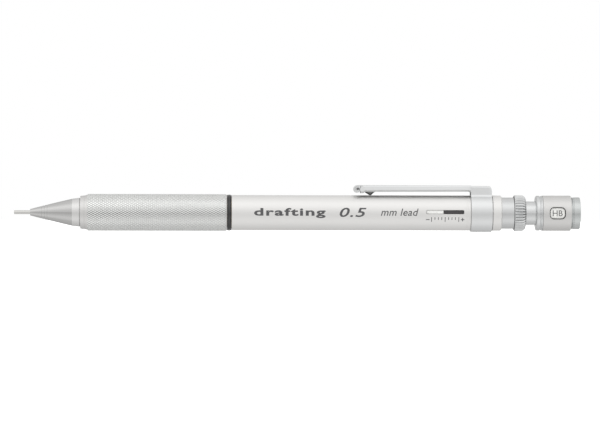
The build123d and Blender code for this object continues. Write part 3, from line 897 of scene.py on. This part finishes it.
def make_dial_sleeve():
    front, rear, radius = measures("dial_sleeve")
    ring_front = span("dial_ring")[0]
    shoulder = ring_front - 3.6
    thread_front = span("indicator_band")[1] + 0.05
    outline = [
        (front, 3.0), (rear, 3.0), (rear, 3.5), (ring_front + 0.01, 3.5),
        (ring_front + 0.01, radius), (shoulder, radius, 0.08), (shoulder, 3.4), (thread_front, 3.4),
        (thread_front, 3.3), (front, 3.3),
    ]
    fit_turned("dial_sleeve_turned", outline, "dial", "dial_metal", dial_metal, "dial_sleeve")


TEETH = 37
TOOTH_DEPTH = 0.34
TOOTH = (  # one tooth and its gap: (share of the pitch, depth of cut)
    (0.0, 0.0), (0.14, 0.0), (0.26, 0.25), (0.4, 0.85),
    (0.5, 1.0), (0.6, 0.85), (0.74, 0.25), (0.86, 0.0),
)


def make_dial_ring():
    """The finger ring: a plain strip in front, then teeth that run out over the rear slope."""
    front, rear = span("dial_ring")
    radius, bore = 4.5, 3.52
    profile = (
        (front, bore, 0.0), (front, radius - 0.5, 0.0), (front + 0.03, radius - 0.3, 0.0),
        (front + 0.1, radius - 0.14, 0.0), (front + 0.2, radius - 0.05, 0.1),
        (front + 0.3, radius - 0.01, 0.6), (front + 0.42, radius, 1.0), (front + 1.2, radius, 1.0),
        (front + 1.7, radius, 1.0), (rear - 0.82, radius - 0.02, 1.0),
        (rear - 0.6, radius - 0.12, 1.0), (rear - 0.34, radius - 0.32, 1.0),
        (rear - 0.12, radius - 0.55, 0.9), (rear - 0.03, radius - 0.7, 0.5),
        (rear, radius - 0.9, 0.0), (rear, bore, 0.0),
    )
    bm = bmesh.new()
    rings = []
    for x, level, cut in profile:
        ring = []
        for tooth in range(TEETH):
            for share, groove in TOOTH:
                angle = math.tau * (tooth + share) / TEETH
                ring.append(bm.verts.new(on_axis(x, level - TOOTH_DEPTH * cut * groove, angle)))
        rings.append(ring)
    skin(bm, rings)
    ring = finish_mesh("dial_ring_knurled", bm, 40)
    # Faces deep in the tooth gaps take the dark second finish: painted shade between the teeth.
    shadowed = radius - 0.62 * TOOTH_DEPTH

    def in_gap(middle):
        slope = max(0.0, middle.x - rear + 0.8) * 0.75
        deep = math.hypot(middle.y, middle.z) < shadowed - slope
        return deep and not front + 0.5 <= middle.x <= rear - 0.75

    paint(ring, in_gap)
    fit_out(ring, "dial", "dial_metal", dial_metal, "dial_ring", others=(gap_shade_metal,))


def make_indicator():
    for node, slot, material in (
        ("indicator_sleeve", "white_plastic", pale_plastic),
        ("indicator_band", "black_plastic", dark_plastic),
    ):
        front, rear, radius = measures(node)
        outline = rounded([(front, 3.35), (rear, 3.35), (rear, radius), (front, radius)], 0.03)
        fit_out(turned(node + "_moulded", outline), "indicator", slot, material, node)


# --- Button and cap ---
def make_button_neck():
    front, rear, radius = measures("button_neck")
    tube_rear = span("lead_tube")[1] + 0.02
    eraser_front = span("eraser")[0] - 0.02
    outline = [
        (front, 1.92), (tube_rear, 1.92), (tube_rear, 1.55), (eraser_front, 1.55),
        (eraser_front, 2.32), (rear, 2.32, 0.05), (rear, radius, 0.15), (front, radius),
    ]
    fit_turned("button_neck_turned", outline, "button", "neck_metal", neck_metal, "button_neck")


def make_eraser():
    front, rear, radius = measures("eraser")
    outline = rounded([(front, 0, 0), (rear, 0, 0), (rear, radius, 0.35), (front, radius, 0.1)])
    fit_out(turned("eraser_plug", outline, 96), "button", "eraser_rubber", eraser_vinyl, "eraser")


def make_cap_collar():
    """A round-nosed bead, a groove, and a thin rib against the shell."""
    front, rear, radius = measures("cap_collar")
    step = rear - 0.3
    groove = front + 1.15
    outline = [
        (front, 3.0, 0.06), (front + 0.58, 3.0), (front + 0.58, 3.37), (rear, 3.37), (rear, 3.98),
        (step, 3.98), (step, radius - 0.08, 0.03), (step - 0.08, radius, 0.08),
        (groove + 0.22, radius, 0.07), (groove + 0.12, radius - 0.17, 0.05),
        (groove - 0.12, radius - 0.17, 0.05), (groove - 0.24, radius, 0.08),
        (front + 0.2, radius, 0.25), (front, radius - 0.25, 0.2),
    ]
    fit_turned("cap_collar_turned", outline, "cap", "cap_metal", neck_metal, "cap_collar")


def make_cap_sleeve():
    front, rear = span("cap_sleeve")
    radius, bore = radius_of("cap_sleeve"), 4.0
    middle, length, width = rear - WINDOW_SETBACK, 4.05, 3.05
    window = Window(middle, 0.0, length, width, corner=1.1, taper=0.22, side_steps=6, end_steps=4)
    outline = [(front, radius, 0.06), (rear - 0.12, radius, 0.05), (rear, radius - 0.12, 0.04)]
    outline += [(rear, bore), (front, bore)]
    shell = windowed_tube("cap_shell", rounded(outline), radius, bore, window)
    # The window's wall takes the dark second finish: painted shade round the opening.
    fit_out(shell, "cap", "cap_metal", cap_metal, "cap_sleeve", others=(gap_shade_metal,))


def make_grade_drum():
    front, rear, radius = measures("grade_drum")
    outline = [(front, 3.4), (rear, 3.4), (rear, radius), (front, radius)]
    fit_turned("grade_drum_moulded", outline, "grade_dial", "white_plastic", white_plastic, "grade_drum")
    middle = span("cap_sleeve")[1] - WINDOW_SETBACK
    for index, grade in enumerate(GRADES):
        wide = 2.5 if len(grade) == 2 else 1.25
        left, right = middle - wide / 2, middle + wide / 2
        mark = printed("grade_" + grade, grade, left, right, -0.72, 0.72, radius, bold=0.01)
        mark.data.transform(Matrix.Rotation(math.tau * index / len(GRADES), 4, "X"))
        fit_out(mark, "grade_dial", "black_plastic", grade_ink)


def make_end_knob():
    """A disc with a fine groove behind its front edge and a turned rear face with a shallow dish."""
    front, rear, radius = measures("end_knob")
    disc = rear - 1.95
    outline = [
        (front, 0, 0), (rear - 0.06, 0, 0), (rear - 0.06, 2.7, 0.05), (rear, 2.85, 0.05),
        (rear, radius - 0.07, 0.03), (rear - 0.07, radius, 0.03), (disc + 0.42, radius, 0.03),
        (disc + 0.36, radius - 0.07, 0.02), (disc + 0.26, radius - 0.07, 0.02),
        (disc + 0.2, radius, 0.03), (disc, radius, 0.06), (disc, 3.6), (disc - 0.3, 3.6),
        (disc - 0.4, 3.94, 0.03), (front, 3.94),
    ]
    fit_turned("end_knob_turned", outline, "grade_dial", "knob_metal", knob_metal, "end_knob")


# --- Printed marks ---
GRADES = ("HB", "F", "H", "2H", "2B", "B")
INK = 0.012  # thickness of a printed mark
BEDDED = 0.004  # how far it sinks into the surface


def wrapped(name, flat, left, right, low, high, radius):
    """Fits a flat mark to a box of X and height, slices it and wraps it round the axis."""
    bm = bmesh.new()
    bm.from_mesh(flat)
    bpy.data.meshes.remove(flat)
    bmesh.ops.remove_doubles(bm, verts=bm.verts, dist=1e-5)
    xs, ys, zs = zip(*(v.co for v in bm.verts))
    for v in bm.verts:
        v.co.x = left + (v.co.x - min(xs)) / (max(xs) - min(xs)) * (right - left)
        v.co.y = low + (v.co.y - min(ys)) / (max(ys) - min(ys)) * (high - low)
        v.co.z = 1.0 if v.co.z > (min(zs) + max(zs)) / 2 else 0.0
    slices = max(2, round((high - low) / 0.15))
    for i in range(1, slices):
        everything = bm.verts[:] + bm.edges[:] + bm.faces[:]
        level = low + (high - low) * i / slices
        bmesh.ops.bisect_plane(bm, geom=everything, plane_co=(0, level, 0), plane_no=(0, 1, 0))
    for v in bm.verts:
        v.co = Vector(on_axis(v.co.x, radius - BEDDED + (INK + BEDDED) * v.co.z, v.co.y / radius))
    return finish_mesh(name, bm, 40)


def printed(name, words, left, right, low, high, radius, bold=0.0, slant=0.0, gap=1.0):
    """Lettering as thin solid ink."""
    curve = bpy.data.curves.new(name, "FONT")
    curve.body = words
    curve.extrude = 0.05
    curve.offset = bold
    curve.shear = slant
    curve.space_character = gap
    curve.resolution_u = 4
    letters = bpy.data.objects.new(name, curve)
    bpy.context.scene.collection.objects.link(letters)
    flat = bpy.data.meshes.new_from_object(letters)
    bpy.data.objects.remove(letters)
    return wrapped(name, flat, left, right, low, high, radius)


def bar(name, left, right, low, high, radius):
    """One printed rectangle."""
    bm = bmesh.new()
    bmesh.ops.create_cube(bm, size=1.0)
    flat = bpy.data.meshes.new(name)
    bm.to_mesh(flat)
    bm.free()
    return wrapped(name, flat, left, right, low, high, radius)


def make_barrel_marks():
    radius = radius_of("barrel_tube")
    front = span("barrel_tube")[0]
    words = (
        ("mark_purpose", "drafting", 5.6, 23.4, -1.35, 1.2, 0.03, 0.0, 1.15),
        ("mark_size", "0.5", 26.9, 33.6, -1.05, 1.3, 0.014, 0.25, 1.1),
        ("mark_unit", "mm lead", 37.2, 46.6, -0.72, 1.1, 0.006, 0.25, 1.05),
    )
    for name, text, left, right, low, high, bold, slant, gap in words:
        mark = printed(name, text, front + left, front + right, low, high, radius, bold, slant, gap)
        fit_out(mark, "barrel", "black_plastic", ink)
    slot_front, slot_rear = slot_ends()
    parts = []
    for i in range(9):
        x = slot_front + 1.35 + (slot_rear - slot_front - 2.7) * i / 8
        deep = -2.3 if i % 4 == 0 else -1.75
        parts.append(bar("tick", x - 0.08, x + 0.08, deep, -1.05, radius))
    for x in (slot_front + 0.4, slot_rear - 0.4):
        parts.append(bar("sign", x - 0.45, x + 0.45, -1.78, -1.58, radius))
    x = slot_rear - 0.4
    parts.append(bar("upright", x - 0.1, x + 0.1, -2.13, -1.23, radius))
    scale = joined("mark_scale", parts)
    fit_out(scale, "barrel", "black_plastic", ink)


# --- The pencil ---
make_lead_sleeve()
make_nose_cone()
make_grip()
make_accent_ring()
make_barrel()
make_clip()
make_rear_ferrule()
make_dial_sleeve()
make_dial_ring()
make_indicator()
make_button_neck()
make_eraser()
make_cap_collar()
make_cap_sleeve()
make_grade_drum()
make_end_knob()
make_barrel_marks()
make_return_spring()
dress_inner_nodes()


# --- Room, camera and light ---
def make_floor():
    """A large pale floor that the pencil lies over, unseen in the pencil's own gloss."""
    half, level = 1.6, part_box("clip")[0][2] - 0.00002
    bm = bmesh.new()
    places = ((-half, -half), (half, -half), (half, half), (-half, half))
    bm.faces.new([bm.verts.new((x, y, level)) for x, y in places])
    mesh = bpy.data.meshes.new("floor")
    bm.to_mesh(mesh)
    bm.free()
    floor = bpy.data.objects.new("floor", mesh)
    bpy.context.scene.collection.objects.link(floor)
    n = Nodes(bpy.data.materials.new("white floor"))
    place, _ = n.position()
    clouds = n.noise(place, 0.02, 2.0)
    pale = n.colour(clouds, shade(0.9), shade(0.93))
    glow = {"Emission_Color": (1, 1, 1, 1), "Emission_Strength": 0.6}
    mesh.materials.append(n.surface(Base_Color=pale, Roughness=0.9, **glow))
    floor.visible_glossy = False
    floor.visible_shadow = False


# Brightness of the soft surroundings: (degrees round X from straight ahead, level). Straight ahead
# is -Y and 90 is overhead.
SURROUND = (
    (-180, 0.65), (-150, 0.62), (-125, 0.68), (-106, 0.79), (-90, 0.8), (-75, 0.97), (-60, 1.07),
    (-46, 1.03), (-34, 0.93), (-24, 0.85), (-15, 0.82), (-7, 0.68), (0, 0.8), (7, 0.98), (15, 0.98),
    (24, 1.04), (34, 1.2), (46, 1.32), (60, 1.375), (75, 1.25), (90, 1.05), (106, 1.0), (125, 0.94),
    (150, 0.7), (180, 0.65),
)


def make_surroundings():
    """A soft white studio: its brightness changes with the direction round the pencil's axis."""
    world = bpy.data.worlds.new("soft studio")
    bpy.context.scene.world = world
    n = Nodes(world)
    n.tree.nodes.clear()
    direction = n.add("ShaderNodeTexCoord").outputs["Generated"]
    split = n.add("ShaderNodeSeparateXYZ", Vector=direction).outputs
    turn = n.math("ARCTAN2", split[2], n.math("MULTIPLY", split[1], -1.0))
    share = n.math("ADD", n.math("DIVIDE", turn, math.tau), 0.5)
    ramp = n.add("ShaderNodeFloatCurve", Value=share)
    points = ramp.mapping.curves[0].points
    brightest = 2.0  # the level at the top of the curve
    while len(points) < len(SURROUND):
        points.new(0.5, 0.5)
    for point, (degrees, level) in zip(points, SURROUND):
        point.location = (degrees / 360 + 0.5, level / brightest)
        point.handle_type = "VECTOR"
    ramp.mapping.update()
    strength = n.math("MULTIPLY", ramp.outputs[0], brightest)
    soft = n.add("ShaderNodeBackground", Color=(1.0, 0.998, 0.994, 1), Strength=strength)
    plain = n.add("ShaderNodeBackground", Color=(1, 1, 1, 1))
    seen = n.add("ShaderNodeLightPath").outputs["Is Camera Ray"]
    mix = n.add("ShaderNodeMixShader")
    for key, socket in enumerate((seen, soft.outputs[0], plain.outputs[0])):
        n.feed(mix, str(key), socket)
    n.add("ShaderNodeOutputWorld", Surface=mix.outputs[0])


def make_camera():
    """A long lens, level with the pencil and a little round toward its tip."""
    target = Vector((0.0714, 0.0, -0.00056))
    distance, round_toward_tip, tilt = 0.8758, math.radians(1.6), math.radians(0.12)
    lens = bpy.data.cameras.new("camera")
    lens.sensor_width = 36
    lens.lens = 210
    lens.clip_start = 0.01
    camera = bpy.data.objects.new("camera", lens)
    bpy.context.scene.collection.objects.link(camera)
    away = Vector((-math.sin(round_toward_tip), -math.cos(round_toward_tip), 0))
    camera.location = target + away * distance
    facing_target = (-away).to_track_quat("-Z", "Y").to_matrix().to_4x4()
    camera.rotation_euler = (facing_target @ Matrix.Rotation(tilt, 4, "Z")).to_euler()
    bpy.context.scene.camera = camera


make_floor()
make_surroundings()
make_camera()
bpy.context.scene.view_settings.view_transform = "Standard"
